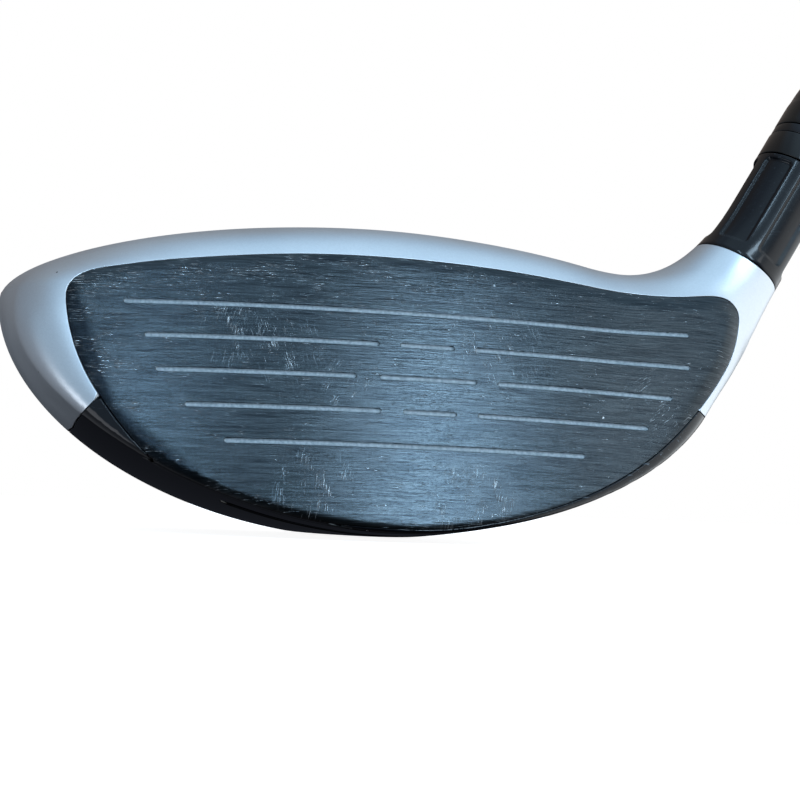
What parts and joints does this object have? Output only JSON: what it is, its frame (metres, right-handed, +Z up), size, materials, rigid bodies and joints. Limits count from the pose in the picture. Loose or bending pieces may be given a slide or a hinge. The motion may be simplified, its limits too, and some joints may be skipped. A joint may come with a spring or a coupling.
{
  "type": "fairway wood",
  "caption": "Golf fairway wood with a hollow metal head, scored striking face, fluted hosel, graphite shaft, rubber grip and a screw-in sole weight.",
  "frame": {"origin": "on the ground, on the small flat under the sole, in the shaft's axis plane", "axes": "+X to the heel and towards the grip, +Y from the striking face to the back of the head, +Z up with the club soled at address"},
  "size_m": [0.6495, 0.0823, 0.9525],
  "materials": {
    "silver_paint": "satin metallic silver paint",
    "face_steel": "dark blue-grey coated steel with fine brushing",
    "carbon": "clear-coated woven carbon composite",
    "gloss_black": "gloss black paint on steel",
    "ferrule_plastic": "polished black plastic",
    "slot_rubber": "matt moulded insert",
    "raw_steel": "bare cast steel",
    "weight_steel": "bare dense steel",
    "weight_alloy": "machined and anodised",
    "hot_melt": "amber tacky glue",
    "washer_rubber": "soft black elastomer",
    "shaft_paint": "clear-coated dark graphite",
    "brass": "turned",
    "plug_foam": "cork plug",
    "trim_metal": "bright ring",
    "tape": "paper-backed adhesive tape",
    "grip_rubber": "moulded textured rubber",
    "cap_rubber": "moulded rubber"
  },
  "bodies": {
    "club": {"head_body": "silver_paint", "face_plate": "face_steel", "crown_panel": "carbon", "sole_plate": "gloss_black", "slot_insert": "slot_rubber", "rear_weight_pad": "weight_steel", "toe_hot_melt": "hot_melt", "toe_sound_rib": "raw_steel", "heel_sound_rib": "raw_steel", "weight_boss": "raw_steel", "hosel_sleeve": "gloss_black", "hosel_bore_tube": "raw_steel", "ferrule_collar": "ferrule_plastic", "ferrule_trim_ring": "trim_metal", "ferrule": "ferrule_plastic", "shaft": "shaft_paint", "tip_weight": "brass", "tip_plug": "plug_foam", "grip_tape": "tape", "grip": "grip_rubber", "grip_end_cap": "cap_rubber"},
    "washer": {"weight_washer": "washer_rubber"},
    "swing_weight": {"weight_screw": "weight_alloy"}
  },
  "joints": [
    {"name": "weight_travel", "type": "slide", "parent": "club", "child": "washer", "axis": [0.0584, 0.3933, -0.9176], "range_m": [0, 0.007]},
    {"name": "weight_turn", "type": "hinge", "parent": "washer", "child": "swing_weight", "pos_m": [-0.00014, 0.04509, 0.00617], "axis": [0.0584, 0.3933, -0.9176], "range_deg": [0, 2520]}
  ],
  "couplings": [
    {"joint": "weight_turn", "follows": "weight_travel", "rad_per_m": 6283.2}
  ]
}
